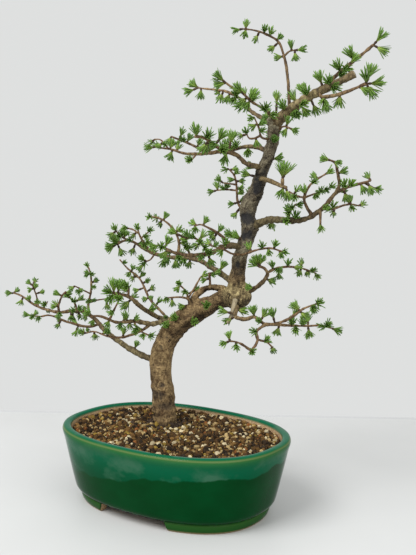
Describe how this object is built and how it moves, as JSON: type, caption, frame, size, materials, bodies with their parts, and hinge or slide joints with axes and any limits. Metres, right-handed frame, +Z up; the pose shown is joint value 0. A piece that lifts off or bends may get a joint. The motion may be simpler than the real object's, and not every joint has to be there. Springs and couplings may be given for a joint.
{
  "type": "larch bonsai",
  "caption": "Bonsai larch with a curved trunk, a burl at its bend and tufted branches, growing in granular soil in an oval glazed pot on feet.",
  "frame": {"origin": "centre of the bounding box at the undersides of the pot's feet", "axes": "+Z up, +X along the pot's long axis; the tree's front faces about 34 degrees from -Y towards +X"},
  "size_m": [0.3687, 0.1857, 0.4393],
  "materials": {
    "green_glaze": "glossy green glaze",
    "screen_plastic": "black plastic mesh",
    "granular_soil": "loose pumice, lava and bark granules",
    "bark": "grey-brown flaky bark",
    "needles": "soft green needles on brown twigs"
  },
  "bodies": {
    "root": {"pot": "green_glaze", "drain_screen_left": "screen_plastic", "drain_screen_right": "screen_plastic", "soil": "granular_soil", "trunk": "bark", "leader": "bark", "branch_low_left": "needles", "branch_low_left_inner": "needles", "branch_tufted_left": "needles", "branch_thin_left": "needles", "shoots_over_bend": "needles", "shoot_over_loop": "needles", "branch_mid_left": "needles", "branch_mid_left_front": "needles", "branch_mid_right": "needles", "shoot_front": "needles", "branch_low_right": "needles", "branch_right": "needles", "branch_right_short": "needles", "shoot_left_upright": "needles", "branch_upper_left": "needles", "branch_upper_left_front": "needles", "shoot_below_fork": "needles", "branch_top_left": "needles", "branch_top_left_front": "needles", "apex_whip": "needles", "apex_right_upper": "needles", "apex_right_lower": "needles", "shoot_right_of_fork": "needles"}
  },
  "joints": []
}
